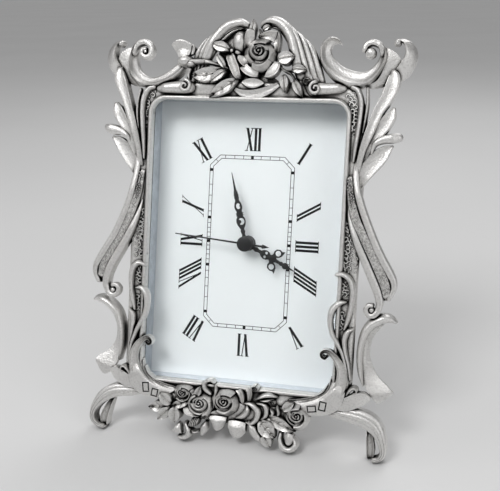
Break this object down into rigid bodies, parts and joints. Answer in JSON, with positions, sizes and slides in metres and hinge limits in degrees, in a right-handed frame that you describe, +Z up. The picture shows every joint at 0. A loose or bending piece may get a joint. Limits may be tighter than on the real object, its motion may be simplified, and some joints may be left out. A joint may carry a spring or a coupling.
{
  "type": "table clock",
  "caption": "Cast pewter table clock with a rose crest and scrolled frame, glazed Roman dial, quartz movement and easel strut.",
  "frame": {"origin": "middle of the bounding box at floor level", "axes": "+Z up, -Y to the front that the dial faces, +X to the right of someone facing the dial"},
  "size_m": [0.1384, 0.0672, 0.1816],
  "materials": {
    "pewter": "antique pewter, polished high spots over dark recesses",
    "glass": "clear",
    "bright": "bright sheet",
    "dial": "white, semi-gloss",
    "board": "black paper-covered board",
    "steel": "zinc plated",
    "brass": "plain",
    "case": "black moulded",
    "gear": "white moulded",
    "magnet": "sintered magnet",
    "copper": "enamelled copper wire",
    "resin": "green circuit board",
    "cell": "plain sleeve",
    "black": "black lacquer"
  },
  "bodies": {
    "clock_body": {"frame_casting": "pewter", "glass_pane": "glass", "dial_spacer": "bright", "dial_plate": "dial", "back_board": "board", "hinge_plate": "steel", "hinge_pin": "steel", "hinge_rivet_left": "steel", "hinge_rivet_right": "steel", "movement_case": "case", "movement_cover": "case", "contact_positive": "bright", "contact_negative": "bright", "circuit_board": "resin", "coil": "copper", "stator": "steel", "tab_screw_1": "steel", "tab_screw_2": "steel", "tab_screw_3": "steel", "tab_screw_4": "steel"},
    "strut": {"strut_leg": "pewter"},
    "cell": {"aa_cell": "cell"},
    "seconds": {"second_hand": "black", "seconds_wheel": "gear"},
    "step": {"step_wheel": "gear"},
    "rotor_body": {"rotor": "magnet"},
    "third": {"third_wheel": "gear"},
    "centre": {"centre_wheel": "brass"},
    "minute": {"minute_hand": "black", "cannon_pinion": "brass"},
    "motion": {"motion_wheel": "gear"},
    "hour": {"hour_hand": "black", "hour_wheel": "gear"},
    "knob": {"setting_knob": "case"},
    "tab_1": {"retaining_tab_1": "steel"},
    "tab_2": {"retaining_tab_2": "steel"},
    "tab_3": {"retaining_tab_3": "steel"},
    "tab_4": {"retaining_tab_4": "steel"}
  },
  "joints": [
    {"name": "second_hand_turn", "type": "hinge", "parent": "clock_body", "child": "seconds", "pos_m": [-0.00089, 0.00576, 0.08302], "axis": [0, 0.9659, -0.2588], "continuous": true},
    {"name": "step_turn", "type": "hinge", "parent": "clock_body", "child": "step", "pos_m": [0.0078, 0.01019, 0.08024], "axis": [0, 0.9659, -0.2588], "continuous": true},
    {"name": "rotor_turn", "type": "hinge", "parent": "clock_body", "child": "rotor_body", "pos_m": [0.01248, 0.01121, 0.08404], "axis": [0, 0.9659, -0.2588], "continuous": true},
    {"name": "third_turn", "type": "hinge", "parent": "clock_body", "child": "third", "pos_m": [-0.00496, 0.01257, 0.08912], "axis": [0, 0.9659, -0.2588], "continuous": true},
    {"name": "centre_turn", "type": "hinge", "parent": "clock_body", "child": "centre", "pos_m": [-0.00089, 0.01059, 0.08172], "axis": [0, 0.9659, -0.2588], "continuous": true},
    {"name": "minute_hand_turn", "type": "hinge", "parent": "clock_body", "child": "minute", "pos_m": [-0.00089, 0.00576, 0.08302], "axis": [0, 0.9659, -0.2588], "continuous": true},
    {"name": "motion_turn", "type": "hinge", "parent": "clock_body", "child": "motion", "pos_m": [0.00305, 0.01251, 0.08889], "axis": [0, 0.9659, -0.2588], "continuous": true},
    {"name": "hour_hand_turn", "type": "hinge", "parent": "clock_body", "child": "hour", "pos_m": [-0.00089, 0.00576, 0.08302], "axis": [0, 0.9659, -0.2588], "continuous": true},
    {"name": "knob_turn", "type": "hinge", "parent": "clock_body", "child": "knob", "pos_m": [0.0016, 0.01465, 0.09688], "axis": [0, 0.9659, -0.2588], "continuous": true},
    {"name": "strut_swing", "type": "hinge", "parent": "clock_body", "child": "strut", "pos_m": [-0.00089, 0.00452, 0.04711], "axis": [-1, 0, 0], "range_deg": [0, 40]},
    {"name": "tab_1_turn", "type": "hinge", "parent": "clock_body", "child": "tab_1", "pos_m": [0.02711, 0.02678, 0.14716], "axis": [0, 0.9659, -0.2588], "range_deg": [0, 90]},
    {"name": "tab_2_turn", "type": "hinge", "parent": "clock_body", "child": "tab_2", "pos_m": [-0.02889, 0.02678, 0.14716], "axis": [0, 0.9659, -0.2588], "range_deg": [0, 90]},
    {"name": "tab_3_turn", "type": "hinge", "parent": "clock_body", "child": "tab_3", "pos_m": [-0.02889, -0.00811, 0.01696], "axis": [0, 0.9659, -0.2588], "range_deg": [0, 90]},
    {"name": "tab_4_turn", "type": "hinge", "parent": "clock_body", "child": "tab_4", "pos_m": [0.02711, -0.00811, 0.01696], "axis": [0, 0.9659, -0.2588], "range_deg": [0, 90]},
    {"name": "cell_slide", "type": "slide", "parent": "clock_body", "child": "cell", "axis": [0, 0.9659, -0.2588], "range_m": [0, 0.03]}
  ],
  "couplings": [
    {"joint": "step_turn", "follows": "second_hand_turn", "ratio": -6},
    {"joint": "rotor_turn", "follows": "second_hand_turn", "ratio": 30},
    {"joint": "third_turn", "follows": "second_hand_turn", "ratio": -0.13333},
    {"joint": "centre_turn", "follows": "second_hand_turn", "ratio": 0.016667},
    {"joint": "motion_turn", "follows": "minute_hand_turn", "ratio": -0.33333},
    {"joint": "hour_hand_turn", "follows": "minute_hand_turn", "ratio": 0.083333},
    {"joint": "knob_turn", "follows": "minute_hand_turn", "ratio": 1}
  ]
}
